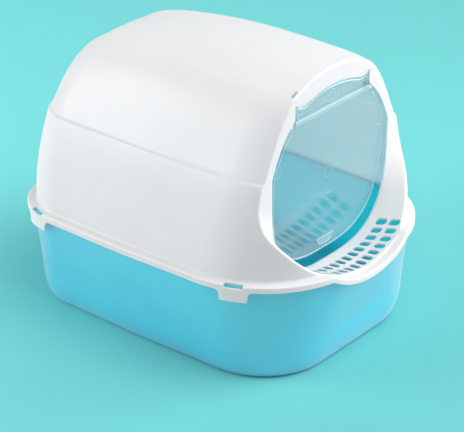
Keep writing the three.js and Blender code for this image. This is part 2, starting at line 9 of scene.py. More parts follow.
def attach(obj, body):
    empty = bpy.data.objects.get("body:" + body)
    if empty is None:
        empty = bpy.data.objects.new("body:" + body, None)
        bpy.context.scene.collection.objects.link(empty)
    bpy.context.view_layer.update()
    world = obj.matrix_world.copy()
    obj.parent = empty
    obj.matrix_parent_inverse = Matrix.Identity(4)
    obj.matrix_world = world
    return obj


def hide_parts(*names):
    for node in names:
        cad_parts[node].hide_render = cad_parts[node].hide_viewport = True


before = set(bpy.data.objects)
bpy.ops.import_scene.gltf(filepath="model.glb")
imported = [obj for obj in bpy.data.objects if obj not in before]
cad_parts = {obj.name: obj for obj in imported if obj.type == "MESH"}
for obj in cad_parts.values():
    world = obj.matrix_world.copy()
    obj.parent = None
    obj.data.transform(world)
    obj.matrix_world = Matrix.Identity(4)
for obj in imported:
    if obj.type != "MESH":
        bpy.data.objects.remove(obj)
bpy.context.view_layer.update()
scene = bpy.context.scene
MM = 0.001

# The set: a teal paper sweep that runs up behind the box, five soft boxes round it, the strongest
# behind on the left and low on the right, a weak lamp inside and a soft spot on the recess.
# The camera looks down past the left front corner.
camera_place = Vector((-1893.6, -1566.6, 1380.5)) * MM
camera_target = Vector((-0.77, -10.01, 127.37)) * MM
focal_pixels = 2000.0
image_width = 464

camera_data = bpy.data.cameras.new("camera")
camera_data.sensor_width = 36.0
camera_data.lens = focal_pixels / image_width * camera_data.sensor_width
camera_data.clip_end = 50.0
camera = bpy.data.objects.new("camera", camera_data)
camera.location = camera_place
camera.rotation_euler = (camera_target - camera_place).to_track_quat("-Z", "Y").to_euler()
scene.collection.objects.link(camera)
scene.camera = camera
scene.view_settings.view_transform = "Standard"


def linear(red, green, blue):
    """A colour as a screen shows it, 0 to 255, in the numbers that Blender mixes."""
    shares = [value / 255 for value in (red, green, blue)]
    curve = [s / 12.92 if s <= 0.04045 else ((s + 0.055) / 1.055) ** 2.4 for s in shares]
    return (*curve, 1.0)


class Socket:
    """A socket of a material's nodes, so that shader maths reads as plain expressions."""

    def __init__(self, tree, socket):
        self.tree = tree
        self.socket = socket

    def node(self, kind, settings=None, **values):
        """Adds a node: its settings first, then the value or link of each named socket."""
        made = self.tree.nodes.new(kind)
        for name, value in (settings or {}).items():
            setattr(made, name, value)
        for name, value in values.items():
            key = int(name[1:]) if name[0] == "n" and name[1:].isdigit() else name.replace("_", " ")
            self.feed(made.inputs[key], value)
        return made

    def feed(self, target, value):
        if isinstance(value, Socket):
            self.tree.links.new(value.socket, target)
        elif isinstance(value, bpy.types.NodeSocket):
            self.tree.links.new(value, target)
        else:
            target.default_value = value

    def of(self, socket):
        return Socket(self.tree, socket)

    def maths(self, operation, first, second):
        made = self.node("ShaderNodeMath", {"operation": operation}, n0=first, n1=second)
        return self.of(made.outputs[0])

    def __add__(self, other):
        return self.maths("ADD", self, other)

    def __radd__(self, other):
        return self.maths("ADD", other, self)

    def __sub__(self, other):
        return self.maths("SUBTRACT", self, other)

    def __rsub__(self, other):
        return self.maths("SUBTRACT", other, self)

    def __mul__(self, other):
        return self.maths("MULTIPLY", self, other)

    def __rmul__(self, other):
        return self.maths("MULTIPLY", other, self)

    def __pow__(self, other):
        return self.maths("POWER", self, other)

    def between(self, low, high):
        """0 below low, 1 above high, and smooth between."""
        settings = {"interpolation_type": "SMOOTHSTEP"}
        made = self.node("ShaderNodeMapRange", settings, Value=self, From_Min=low, From_Max=high)
        return self.of(made.outputs[0])

    def mix(self, first, second):
        """The colour first where this is 0 and second where it is 1."""
        settings = {"data_type": "RGBA"}
        made = self.node("ShaderNodeMix", settings, n0=self, n6=first, n7=second)
        return self.of(made.outputs[2])


def material_start(name):
    """A new material with only its output, and a socket of it to start expressions from."""
    material = bpy.data.materials.new(name)
    material.use_nodes = True
    tree = material.node_tree
    tree.nodes.clear()
    output = tree.nodes.new("ShaderNodeOutputMaterial")
    return material, Socket(tree, output.inputs["Surface"])


floor_shown = linear(120, 212, 212)
floor_light = linear(214, 222, 224)
sweep_width = 9.0
sweep_front = -6.0
sweep_back = 3.2
sweep_height = 4.5
sweep_round = 1.2
sweep_turn = -50.73
round_steps = 24

sweep_line = [(sweep_front, 0.0)]
for step in range(round_steps + 1):
    turn = math.pi / 2 * step / round_steps
    sweep_line.append((
        sweep_back - sweep_round + sweep_round * math.sin(turn),
        sweep_round - sweep_round * math.cos(turn),
    ))
sweep_line.append((sweep_back, sweep_height))
sweep_points = [(side * sweep_width / 2, y, z) for y, z in sweep_line for side in (-1, 1)]
sweep_faces = [(2 * k, 2 * k + 1, 2 * k + 3, 2 * k + 2) for k in range(len(sweep_line) - 1)]
sweep_mesh = bpy.data.meshes.new("backdrop")
sweep_mesh.from_pydata(sweep_points, [], sweep_faces)
sweep_mesh.polygons.foreach_set("use_smooth", [True] * len(sweep_faces))
backdrop = bpy.data.objects.new("backdrop", sweep_mesh)
backdrop.rotation_euler = (0, 0, math.radians(sweep_turn))
scene.collection.objects.link(backdrop)

paper, surface = material_start("backdrop_paper")
light_path = surface.node("ShaderNodeLightPath")
seen = surface.of(light_path.outputs["Is Camera Ray"])
grain = surface.node("ShaderNodeTexNoise", Scale=3.0, Detail=3.0)
place = surface.node("ShaderNodeSeparateXYZ", Vector=surface.node("ShaderNodeTexCoord").outputs["Object"])
# The paper's tone is a faint grain times a painted fall-off of the light: brighter to the back and left,
# darker to the front and right.
slope = surface.of(place.outputs["Y"]) * 0.24 - surface.of(place.outputs["X"]) * 0.3
painted_falloff = slope.between(-0.5, 0.7) * 0.72 + 0.74
paper_grain_and_painted_falloff = (surface.of(grain.outputs["Fac"]) * 0.06 + 0.97) * painted_falloff
paper_colour = seen.mix(floor_light, floor_shown)
shown = surface.node("ShaderNodeHueSaturation", Value=paper_grain_and_painted_falloff, Color=paper_colour)
paper_shader = surface.node("ShaderNodeBsdfDiffuse", Color=shown.outputs[0])
surface.feed(surface.socket, paper_shader.outputs[0])
sweep_mesh.materials.append(paper)


def lamp(name, azimuth, elevation, distance, size, watts):
    """A square soft box that faces the middle of the object from a side and a height."""
    data = bpy.data.lights.new(name, "AREA")
    data.shape = "SQUARE"
    data.size = size
    data.energy = watts
    made = bpy.data.objects.new(name, data)
    side, up = math.radians(azimuth), math.radians(elevation)
    away = Vector((math.sin(side) * math.cos(up), -math.cos(side) * math.cos(up), math.sin(up)))
    made.location = camera_target + away * distance
    made.rotation_euler = (-away).to_track_quat("-Z", "Y").to_euler()
    scene.collection.objects.link(made)


lamp("lamp_left", -136, 21, 2.2, 1.2, 24)
lamp("lamp_right", 35, 45, 2.2, 1.4, 17)
lamp("lamp_low", 55, 10, 2.2, 1.0, 19)
lamp("lamp_top", -5, 63, 2.1, 1.5, 17.5)
lamp("lamp_front", -5, 18, 2.2, 1.4, 2.5)

# A weak lamp under the vault stands for the light that comes in all round through the thin wall.
inside_size = 0.14
inside_place = Vector((0.0, 20.0, 360.0)) * MM
inside = bpy.data.lights.new("lamp_inside", "AREA")
inside.size = inside_size
inside.energy = 0.2
inside_lamp = bpy.data.objects.new("lamp_inside", inside)
inside_lamp.location = inside_place
inside_lamp.visible_camera = False
scene.collection.objects.link(inside_lamp)

# A small spot with a soft edge fills the recess below the doorway.
spot_cone = 8.0
spot_aim = Vector((120.0, -210.0, 175.0)) * MM
spot_from = spot_aim + Vector((-1.23, -0.86, 0.55))
spot = bpy.data.lights.new("lamp_spot", "SPOT")
spot.spot_size = math.radians(spot_cone)
spot.spot_blend = 1.0
spot.shadow_soft_size = 0.1
spot.energy = 26.0
spot_lamp = bpy.data.objects.new("lamp_spot", spot)
spot_lamp.location = spot_from
spot_lamp.rotation_euler = (spot_aim - spot_from).to_track_quat("-Z", "Y").to_euler()
scene.collection.objects.link(spot_lamp)

world = bpy.data.worlds.new("studio")
world.use_nodes = True
world.node_tree.nodes["Background"].inputs["Color"].default_value = (1.0, 0.98, 0.97, 1.0)
world.node_tree.nodes["Background"].inputs["Strength"].default_value = 0.33
scene.world = world

# The tray: one light blue polypropylene moulding, open on top. Its foot is rounded all the way
# round, its wall leans out to a narrow flat rim, and the rim dips in the middle of the front.
length = 500.0
width = 394.0
side_bow = 2.5
back_bow = 7.0
dip_depth = 23.6
dip_half_width = 82.0
rim_plan = {
    "half_width": width / 2 - side_bow,
    "front": -length / 2,
    "back": length / 2 - back_bow,
    "front_radius": 148.0,
    "back_radius": 89.0,
}
foot_plan = {
    "half_width": rim_plan["half_width"] - 20.5,
    "front": rim_plan["front"] + 24,
    "back": rim_plan["back"] - 18,
    "front_radius": 107.5,
    "back_radius": 66.0,
}
front_segments = 8
kink_segments = 10
front_arc_segments = 44
side_segments = 40
back_arc_segments = 30
back_segments = 14


def half_outline(plan, inset):
    """Half of a rounded plan outline, moved in by an inset, from the middle of the front round to
    the middle of the back. The sides and the back bow out a little."""
    radius = plan["front_radius"] - inset
    front_x = plan["half_width"] - plan["front_radius"]
    front_y = plan["front"] + plan["front_radius"]
    back_x = plan["half_width"] - plan["back_radius"]
    back_y = plan["back"] - plan["back_radius"]
    rim_centre = rim_plan["half_width"] - rim_plan["front_radius"]
    kink = math.asin((dip_half_width - rim_centre) / rim_plan["front_radius"])
    share = np.arange(front_segments) / front_segments
    front = np.stack([front_x * share, np.full_like(share, plan["front"] + inset)], 1)
    turns = np.concatenate([
        np.linspace(0, kink, kink_segments, endpoint=False),
        np.linspace(kink, math.pi / 2, front_arc_segments + 1),
    ])
    front_arc = np.stack([front_x + radius * np.sin(turns), front_y - radius * np.cos(turns)], 1)
    share = np.arange(1, side_segments) / side_segments
    bow = side_bow * np.sin(np.pi * share) ** 2
    side = np.stack([plan["half_width"] - inset + bow, front_y + (back_y - front_y) * share], 1)
    turns = np.linspace(0, math.pi / 2, back_arc_segments + 1)
    radius = plan["back_radius"] - inset
    back_arc = np.stack([back_x + radius * np.cos(turns), back_y + radius * np.sin(turns)], 1)
    share = np.arange(1, back_segments + 1) / back_segments
    bow = back_bow * np.sin(np.pi / 2 * share) ** 2
    back = np.stack([back_x * (1 - share), plan["back"] - inset + bow], 1)
    return np.concatenate([front, front_arc, side, back_arc, back])


rim_half = half_outline(rim_plan, 0)
dips = np.where(
    rim_half[:, 1] < 0,
    dip_depth * (1 - np.minimum(1, np.abs(rim_half[:, 0]) / dip_half_width) ** 2),
    0,
)


def close_ring(half):
    """A loop from its right half, which starts and ends on the middle plane."""
    mirrored = half[-2:0:-1] * np.array([-1.0, 1.0, 1.0])
    return np.concatenate([half, mirrored])


def ring_at(plan, inset, height, dip_share=0.0):
    outline = half_outline(plan, inset)
    return close_ring(np.column_stack([outline, height - dips * dip_share]))


def solid(name, points, faces):
    """A closed mesh object from points in millimetres, with its faces turned outward."""
    points = np.asarray(points, float) * MM
    volume = 0.0
    for face in faces:
        corners = points[list(face)]
        for k in range(1, len(corners) - 1):
            volume += corners[0] @ np.cross(corners[k], corners[k + 1])
    if volume < 0:
        faces = [face[::-1] for face in faces]
    mesh = bpy.data.meshes.new(name)
    mesh.from_pydata(points.tolist(), [], faces)
    mesh.validate()
    made = bpy.data.objects.new(name, mesh)
    scene.collection.objects.link(made)
    return made


def skin(rings, steps):
    """The faces between each ring and the next, for a number of steps."""
    count = len(rings[0])
    faces = []
    for r in range(steps):
        low, high = r * count, (r + 1) % len(rings) * count
        for k in range(count):
            faces.append((low + k, low + (k + 1) % count, high + (k + 1) % count, high + k))
    return faces


def band(name, rings):
    """A closed loop of material whose section runs from ring to ring: up outside, down inside."""
    return solid(name, np.concatenate(rings), skin(rings, len(rings)))


def cap(start, count, up):
    """Faces that close a symmetric ring with strips across the middle plane."""
    faces = []
    for k in range(count // 2):
        left = (count - k) % count
        face = (start + k, start + k + 1, start + (left - 1) % count, start + left)
        face = tuple(dict.fromkeys(face))
        faces.append(face if up else face[::-1])
    return faces


def loft(name, rings):
    """A closed solid through rings, each above the last."""
    count = len(rings[0])
    faces = skin(rings, len(rings) - 1)
    faces += cap(0, count, False)
    faces += cap((len(rings) - 1) * count, count, True)
    return solid(name, np.concatenate(rings), faces)


def rounded(corner, before, after, radius, steps):
    """Points of a round at a corner of a section, between the ways it comes from and goes to."""
    corner = np.array(corner, float)
    into = np.array(before, float) / np.linalg.norm(before)
    out = np.array(after, float) / np.linalg.norm(after)
    half = math.acos(max(-1.0, min(1.0, float(into @ -out)))) / 2
    reach = radius / math.tan(half)
    start, end = corner - into * reach, corner + out * reach
    centre = corner + (out - into) / np.linalg.norm(out - into) * radius / math.sin(half)
    first, last = start - centre, end - centre
    span = math.acos(max(-1.0, min(1.0, float(first @ last) / radius ** 2)))
    points = []
    for step in range(steps + 1):
        share = step / steps
        spoke = first * math.sin((1 - share) * span) + last * math.sin(share * span)
        points.append(centre + spoke / math.sin(span))
    return points


def smooth_by_angle(piece, degrees):
    """Smooth shading, with sharp edges where the faces turn by more than an angle."""
    bpy.context.view_layer.objects.active = piece
    piece.data.polygons.foreach_set("use_smooth", [True] * len(piece.data.polygons))
    piece.data.set_sharp_from_angle(angle=math.radians(degrees))


def moulded_plastic(name, colour, deep, roughness, grain_height, through, reach, skin_gloss):
    """Moulded plastic: a fine spark-eroded grain, soft flow marks in tone and gloss, and a few faint
    rubs. Above the foot, a share of the light spreads through it, with a reach in millimetres for
    red, green and blue."""
    material, surface = material_start(name)
    place = surface.node("ShaderNodeTexCoord").outputs["Object"]
    cloud = surface.node("ShaderNodeTexNoise", Vector=place, Scale=9.0, Detail=4.0, Roughness=0.55)
    cloud = surface.of(cloud.outputs["Fac"])
    flow_space = surface.node("ShaderNodeMapping", Vector=place, Scale=(3.0, 3.0, 14.0))
    flow = surface.node("ShaderNodeTexNoise", Vector=flow_space.outputs[0], Scale=2.5, Detail=3.0)
    flow = surface.of(flow.outputs["Fac"])
    grain = surface.node("ShaderNodeTexNoise", Vector=place, Scale=950.0, Detail=2.0, Roughness=0.6)
    grain = surface.of(grain.outputs["Fac"])
    rub_space = surface.node(
        "ShaderNodeMapping", Vector=place, Rotation=(0.4, 0.2, 0.7), Scale=(4.0, 60.0, 30.0),
    )
    rubs = surface.node(
        "ShaderNodeTexNoise", Vector=rub_space.outputs[0], Scale=3.0, Detail=5.0, Roughness=0.7,
    )
    rubs = surface.of(rubs.outputs["Fac"]).between(0.62, 0.78)
    tone = (cloud * 0.55 + flow * 0.45).between(0.3, 0.7)
    gloss = roughness + (flow - 0.5) * 0.12 + (grain - 0.5) * 0.08 + rubs * 0.08
    relief = grain + cloud * 6.0
    bump = surface.node("ShaderNodeBump", Strength=0.35, Distance=grain_height, Height=relief)
    bodies = [surface.node(
        "ShaderNodeBsdfPrincipled", IOR=1.49, Base_Color=tone.mix(deep, colour), Roughness=gloss,
        Normal=bump.outputs[0], Coat_Weight=skin_gloss, Coat_Roughness=0.2, Coat_IOR=1.8,
        Subsurface_Weight=weight, Subsurface_Radius=reach, Subsurface_Scale=MM,
    ) for weight in (0.0, 1.0)]
    height = surface.of(surface.node("ShaderNodeSeparateXYZ", Vector=place).outputs["Z"])
    lit = height.between(0.004, 0.055) * through
    solid_body, lit_body = (body.outputs[0] for body in bodies)
    mixed = surface.node("ShaderNodeMixShader", Fac=lit, n1=solid_body, n2=lit_body)
    surface.feed(surface.socket, mixed.outputs[0])
    return material


def line_inside(piece, heart, lowest, material):
    """Gives the faces beyond a lowest corner that look towards a point inside the piece a material
    of their own: there the light that comes through the wall is seen."""
    mesh = piece.data
    mesh.materials.append(material)
    centres = np.empty(len(mesh.polygons) * 3)
    normals = np.empty(len(mesh.polygons) * 3)
    mesh.polygons.foreach_get("center", centres)
    mesh.polygons.foreach_get("normal", normals)
    centres, normals = centres.reshape(-1, 3) / MM, normals.reshape(-1, 3)
    looks_in = ((np.array(heart) - centres) * normals).sum(axis=1) > 0
    inside = looks_in & (centres > lowest).all(axis=1)
    mesh.polygons.foreach_set("material_index", inside.astype(np.int32))


flange_top = 148.0
skirt_bottom = 140.0
skirt_thickness = 3.0
plate_bottom = flange_top - skirt_thickness
seat_gap = 0.3
skirt_gap = 0.5
tray_top = plate_bottom - seat_gap
tray_wall = 3.0
tray_floor = 3.2
rim_inset = skirt_thickness + skirt_gap
rim_width = 4.6
rim_thickness = 3.0
wall_inset = rim_inset + rim_width
foot_round_width = 15.5
foot_round_height = 51.0
foot_steps = 18
tray_wall_steps = 14
rim_edge = 0.7
edge_steps = 3


def foot_rings(wall, floor):
    rings = []
    for step in range(foot_steps):
        turn = math.pi / 2 * (1 - step / foot_steps)
        inset = foot_round_width - (foot_round_width - wall) * math.cos(turn)
        height = foot_round_height - (foot_round_height - floor) * math.sin(turn)
        rings.append(ring_at(foot_plan, inset, height))
    return rings


def tray_wall_ring(share, wall, top):
    low = half_outline(foot_plan, wall)
    high = half_outline(rim_plan, wall_inset + wall)
    heights = foot_round_height + (top - dips - foot_round_height) * share
    return close_ring(np.column_stack([low + (high - low) * share, heights]))


def section_rings(plan, points, dip_share=1.0):
    """A ring for each (inset, height) of a section."""
    return [ring_at(plan, inset, height, dip_share) for inset, height in points]


shares = [step / tray_wall_steps for step in range(tray_wall_steps)]
rim_under = tray_top - rim_thickness
inner_inset = wall_inset + tray_wall
outer_rings = [tray_wall_ring(share, 0, rim_under) for share in shares]
rim_rings = section_rings(rim_plan, [
    (wall_inset, rim_under),
    *rounded((rim_inset, rim_under), (-1, 0), (0, 1), rim_edge, edge_steps),
    *rounded((rim_inset, tray_top), (0, 1), (1, 0), rim_edge, edge_steps),
    *rounded((inner_inset, tray_top), (1, 0), (0, -1), rim_edge, edge_steps),
])
inner_rings = [tray_wall_ring(share, tray_wall, tray_top - 2 * rim_edge) for share in shares[::-1]]
tray = loft("tray_moulding", [
    *foot_rings(0, 0),
    *outer_rings,
    *rim_rings,
    *inner_rings,
    *foot_rings(tray_wall, tray_floor)[::-1],
])
smooth_by_angle(tray, 50)
tray_blue = moulded_plastic(
    "tray_blue", linear(36, 213, 240), linear(28, 204, 233), 0.36, 0.00012,
    through=0.35, reach=(12.0, 17.0, 17.0), skin_gloss=1.0,
)
tray_inside = moulded_plastic(
    "tray_inside", linear(58, 207, 225), linear(50, 200, 219), 0.36, 0.00012,
    through=1.0, reach=(9.0, 13.0, 13.0), skin_gloss=0.0,
)
tray.data.materials.append(tray_blue)
line_inside(tray, (0, 0, foot_round_height), (-width, -length, 0), tray_inside)
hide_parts("tray")
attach(tray, "tray")

# The hood: one white polypropylene moulding that snaps over the tray's rim. Skirt, flange and wall
# rise to a ridge, and above it the vault closes over; the front is cut off flat round the doorway.
hood_wall = 2.8
skirt_round = 1.6
flange_width = 13.0
flange_fillet = 3.5
wall_lean = 25.1
wall_lean_back = 12.7
ridge_height = 278.0
ridge_step = 4.4
ridge_step_rise = 3.0
spine_setback = 141.0
frame_plane = -177.0
crown_front = 395.5
crown_middle = 400.0
crown_back = 388.7
below_rim = 56.0
overrun = 60.0
wall_foot = flange_top + flange_fillet
vault_in_shares = [0, 0.061, 0.13, 0.209, 0.293, 0.375, 0.442, 0.518, 0.609, 0.722, 0.861, 0.96]
vault_rise_shares = [0, 0.153, 0.336, 0.514, 0.67, 0.779, 0.837, 0.877, 0.924, 0.971, 0.996, 0.999]
vault_steps = 52
wall_steps = 20


def along_table(table, share):
    """A smooth curve through the values of a table, spread evenly from 0 to 1."""
    place = min(max(share, 0.0), 1.0) * (len(table) - 1)
    index = min(int(place), len(table) - 2)
    t = place - index
    values = [table[min(max(k, 0), len(table) - 1)] for k in range(index - 1, index + 3)]
    if index == 0:
        values[0] = 2 * table[0] - table[1]
    if index == len(table) - 2:
        values[3] = 2 * table[-1] - table[-2]
    p0, p1, p2, p3 = values
    bend = 2 * p0 - 5 * p1 + 4 * p2 - p3 + t * (3 * (p1 - p2) + p3 - p0)
    return p1 + t / 2 * (p2 - p0 + t * bend)


def crown_rise(y):
    """The crown's height above the ridge along the length; behind the spine's end it goes on
    falling."""
    back = length / 2 - spine_setback
    middle = (frame_plane + back) / 2
    share = (y - middle) / ((back - frame_plane) / 2)
    end = np.where(share < 0, crown_front, crown_back)
    return crown_middle + (end - crown_middle) * share ** 2 - ridge_height - ridge_step_rise


def leaned_plan(share):
    """The rim's plan at a share of the wall's height: the higher, the more its sides and its back,
    but not its front, lean in."""
    lean = wall_lean * share ** 1.8
    lean_back = wall_lean_back * share ** 1.5
    return {
        "half_width": rim_plan["half_width"] - lean,
        "front": rim_plan["front"],
        "back": rim_plan["back"] - lean_back,
        "front_radius": rim_plan["front_radius"] - wall_lean * share,
        "back_radius": rim_plan["back_radius"] - wall_lean_back * share,
    }


def wall_rings(wall):
    rings = []
    for step in range(1, wall_steps + 1):
        share = step / wall_steps
        height = wall_foot + (ridge_height - wall_foot) * share
        rings.append(ring_at(leaned_plan(share), flange_width + wall, height, 1 - share))
    return rings


def vault_rings(wall):
    """The levels of the vault: the ridge outline drawn in towards the spine, later at the back,
    and raised."""
    base = half_outline(leaned_plan(1), flange_width + ridge_step + wall)
    spine_end = length / 2 - spine_setback
    spine_y = np.minimum(base[:, 1], spine_end)
    rings = []
    for step in range(vault_steps + 1):
        share = step / vault_steps
        inward = along_table(vault_in_shares, share)
        level_y = base[:, 1] + (spine_y - base[:, 1]) * inward ** 1.5
        rise = (crown_rise(level_y) - wall) * along_table(vault_rise_shares, share)
        rings.append(close_ring(np.column_stack([
            base[:, 0] * (1 - inward),
            level_y,
            ridge_height + ridge_step_rise + rise,
        ])))
    return rings


# The ridge's section as insets from the wall's top and heights above it: the wall's rounded top
# edge, a fine groove, and the vault's foot that flares out over it. At the back it is plain.
ridge_crisp = [
    (0, -1.2), (0.15, -0.45), (0.55, 0.05), (0.95, -0.55), (1.2, 0.35),
    (2.4, 0.95), (3.6, 1.7), (4.5, 2.7), (5.05, 3.9),
]
ridge_plain = [
    (0, -1.2), (0, -0.6), (0.2, 0), (0.6, 0.3), (1.1, 0.65),
    (2.2, 1.4), (3.3, 2.1), (4.1, 2.8), (4.7, 3.6),
]
ridge_crisp_from = 190.0
ridge_crisp_at = -60.0


def ridge_rings():
    """The ridge's levels outside: crisp in front and plain at the back."""
    plan = leaned_plan(1)
    middle = half_outline(plan, flange_width)
    ahead = (ridge_crisp_from - middle[:, 1]) / (ridge_crisp_from - ridge_crisp_at)
    crisp_share = np.clip(ahead, 0, 1)[:, None]
    rings = []
    for (crisp_inset, crisp_up), (inset, up) in zip(ridge_crisp, ridge_plain):
        crisp = half_outline(plan, flange_width + crisp_inset)
        plain = half_outline(plan, flange_width + inset)
        crisp = np.column_stack([crisp, np.full(len(crisp), ridge_height + crisp_up)])
        plain = np.column_stack([plain, np.full(len(plain), ridge_height + up)])
        rings.append(close_ring(crisp * crisp_share + plain * (1 - crisp_share)))
    return rings


flange_section = [
    *rounded((0, flange_top), (0, 1), (1, 0), skirt_round, 5),
    *rounded((flange_width, flange_top), (1, 0), (0, 1), flange_fillet, 6),
]
hood_outer = loft("hood_outer", [
    ring_at(rim_plan, 0, below_rim),
    ring_at(rim_plan, 0, skirt_bottom - skirt_round, 1),
    *section_rings(rim_plan, flange_section),
    *wall_rings(0)[:-1],
    *ridge_rings(),
    *vault_rings(0)[1:],
])
hood_inner = loft("hood_inner", [
    ring_at(rim_plan, skirt_thickness, below_rim - overrun),
    ring_at(rim_plan, skirt_thickness, plate_bottom, 1),
    ring_at(rim_plan, flange_width + hood_wall, plate_bottom, 1),
    *wall_rings(hood_wall),
    *vault_rings(hood_wall),
])
below_skirt = band("below_skirt", [
    ring_at(rim_plan, -skirt_gap, below_rim - overrun),
    ring_at(rim_plan, -skirt_gap, skirt_bottom, 1),
    ring_at(rim_plan, skirt_thickness + skirt_gap, skirt_bottom, 1),
    ring_at(rim_plan, skirt_thickness + skirt_gap, below_rim - overrun),
])


def cut(piece, tool, operation="DIFFERENCE"):
    """Joins or cuts a piece with a tool, and takes the tool away."""
    step = piece.modifiers.new("cut", "BOOLEAN")
    step.solver = "MANIFOLD"
    step.operation = operation
    step.material_mode = "TRANSFER"
    step.object = tool
    shape = piece.evaluated_get(bpy.context.evaluated_depsgraph_get())
    mesh = bpy.data.meshes.new_from_object(shape)
    piece.modifiers.clear()
    old = piece.data
    piece.data = mesh
    bpy.data.meshes.remove(old)
    old_tool = tool.data
    bpy.data.objects.remove(tool)
    bpy.data.meshes.remove(old_tool)
    return piece


# The doorway in the hood, an arch with a notch on each side where the door is hung.
doorway_half_width = 124.5
doorway_middle = 263.0
doorway_sill = 121.4
doorway_shoulder = 279.0
doorway_arc = (105.3, 317.5)
notch_half_width = 81.0
notch_height = 344.0
ear_half_width = 79.0
ear_height = 365.8
doorway_dip = 360.4
doorway_top = 371.0
sag_share = 0.25
sill_steps = 56
shoulder_steps = 16
top_steps = 32


def sill_angles():
    step = np.arange(sill_steps + 1)
    up = step ** 1.5
    return math.pi / 2 * up / (up + (sill_steps - step) ** 1.5)


def sill_points(out, side_gap=0.0, bottom_gap=0.0):
    """The doorway's lower half, moved out by an amount: rows of x and z."""
    angles = sill_angles()
    half_width = doorway_half_width - side_gap
    drop = doorway_middle - doorway_sill - bottom_gap
    across = np.sin(angles) ** (2 / 3)
    down = np.maximum(np.cos(angles), 0) ** (2 / 3)
    normal = np.stack([across ** 2 / half_width, -(down ** 2) / drop], 1)
    normal /= np.linalg.norm(normal, axis=1)[:, None]
    return np.stack([half_width * across, doorway_middle - drop * down], 1) + out * normal


def half_doorway(side=0.0, bottom=0.0, top=0.0, ear=0.0):
    """Half of the doorway's edge from the middle of the sill to the top, moved in by gaps."""
    points = [*sill_points(0, side, bottom)]
    start = np.array([doorway_half_width - side, doorway_shoulder])
    end = np.array([notch_half_width - side, notch_height])
    middle = np.array([doorway_arc[0] - side, doorway_arc[1]])
    pull = 2 * middle - (start + end) / 2
    for t in np.linspace(0, 1, shoulder_steps + 1):
        points.append((1 - t) ** 2 * start + 2 * t * (1 - t) * pull + t * t * end)
    edge = ear_half_width - ear
    points.append(np.array([edge, notch_height + (ear_height - notch_height) / 4]))
    points.append(np.array([edge, ear_height - top]))
    for t in np.arange(1, top_steps + 1) / top_steps:
        past = max(0.0, (t - sag_share) / (1 - sag_share))
        before = max(0.0, 1 - t / sag_share)
        arch = doorway_dip + (doorway_top - doorway_dip) * math.sin(math.pi / 2 * past)
        rise = (ear_height - doorway_dip) * before ** 2
        points.append(np.array([edge * (1 - t), arch + rise - top]))
    return np.array(points)


def doorway_ring(half, depth):
    """A loop in an upright plane, or on a surface where depth is a row of numbers."""
    depths = np.broadcast_to(depth, len(half))
    return close_ring(np.column_stack([half[:, 0], depths, half[:, 1]]))


# The scoop: the recess that runs from the doorway's lower edge out to a crest, and makes the step.
crest_spread_shares = [0.033, 0.033, 0.049, 0.049, 0.05, 0.06, 0.105, 0.166, 0.222, 0.234, 0.217]
crest_rise_shares = [0.03, 0.066, 0.09, 0.102, 0.084, 0.076, 0.077, 0.086, 0.083, 0.043, 0]


def scoop_rulings():
    """From each point of the sill to the crest, which lies on the hood's wall."""
    points = sill_points(0)
    rulings = []
    for angle, (sill_x, sill_z) in zip(sill_angles(), points):
        share = angle / (math.pi / 2)
        x = sill_x * (1 + along_table(crest_spread_shares, share))
        z = sill_z + (doorway_middle - doorway_sill) * along_table(crest_rise_shares, share)
        up = min(1.0, max(0.0, z - wall_foot) / (ridge_height - wall_foot))
        plan = leaned_plan(up)
        radius = plan["front_radius"] - flange_width
        past = max(0.0, x - (plan["half_width"] - plan["front_radius"]))
        y = plan["front"] + plan["front_radius"] - math.sqrt(radius ** 2 - past ** 2)
        rulings.append((x - sill_x, min(y, frame_plane) - frame_plane, z - sill_z))
    return np.array(rulings)


rulings = scoop_rulings()
scoop_run = 2.0


def scoop_space(name, wall):
    """What the scoop leaves open in front of the doorway, moved back and out by a wall."""
    back = frame_plane + wall
    ahead = -length / 2 - 2 * overrun
    top = crown_middle + overrun
    points = sill_points(wall)
    near = np.column_stack([points[:, 0], np.full(len(points), back), points[:, 1]])

    def closed(half, y):
        side = half[-1, 0]
        return close_ring(np.concatenate([half, [[side, y, top], [0, y, top]]]))

    far = near + rulings * scoop_run
    gone = far.copy()
    gone[:, 1] = ahead
    rings = [closed(near, back)]
    for share in (0.25, 0.5, 0.75, 1.0, 1.5):
        rings.append(closed(near + rulings * share, back))
    return loft(name, [*rings, closed(far, back), closed(gone, ahead)])


# The rounded edge of the front: it follows the crest of the scoop and the outer edge of the frame.
frame_steps = 90
crest_round = 3.0
lip_round = 1.2
round_reach = 0.6


def front_edge():
    """Where the front's faces meet the hood's outside, and the normals of both, on the right half."""
    outside = BVHTree.FromObject(hood_outer, bpy.context.evaluated_depsgraph_get())
    points = sill_points(0)
    starts = [*np.column_stack([points[:, 0], np.full(len(points), frame_plane), points[:, 1]])]
    ways = [*rulings]
    for turn in np.linspace(0, math.pi / 2, frame_steps + 1)[1:]:
        starts.append(np.array([0.0, frame_plane, doorway_middle]))
        ways.append(np.array([math.cos(turn), 0.0, math.sin(turn)]))
    edge, outward = [], []
    for start, way in zip(starts, ways):
        found, normal, _, _ = outside.ray_cast(Vector(start * MM), Vector(way).normalized())
        edge.append(np.array(found) / MM)
        outward.append(np.array(normal))
    edge, outward = np.array(edge), np.array(outward)
    edge[[0, -1], 0] = 0.0
    outward[[0, -1], 0] = 0.0
    for _ in range(3):
        outward[1:-1] = (outward[:-2] + 2 * outward[1:-1] + outward[2:]) / 4
    outward /= np.linalg.norm(outward, axis=1)[:, None]
    facing = np.tile(np.array([0.0, -1.0, 0.0]), (len(edge), 1))
    scooped = len(points)
    facing[:scooped] = np.cross(rulings, np.gradient(edge, axis=0)[:scooped])
    facing[0, 0] = 0.0
    facing /= np.linalg.norm(facing, axis=1)[:, None]
    return edge, facing, outward


def unit(rows):
    return rows / np.linalg.norm(rows, axis=1)[:, None]


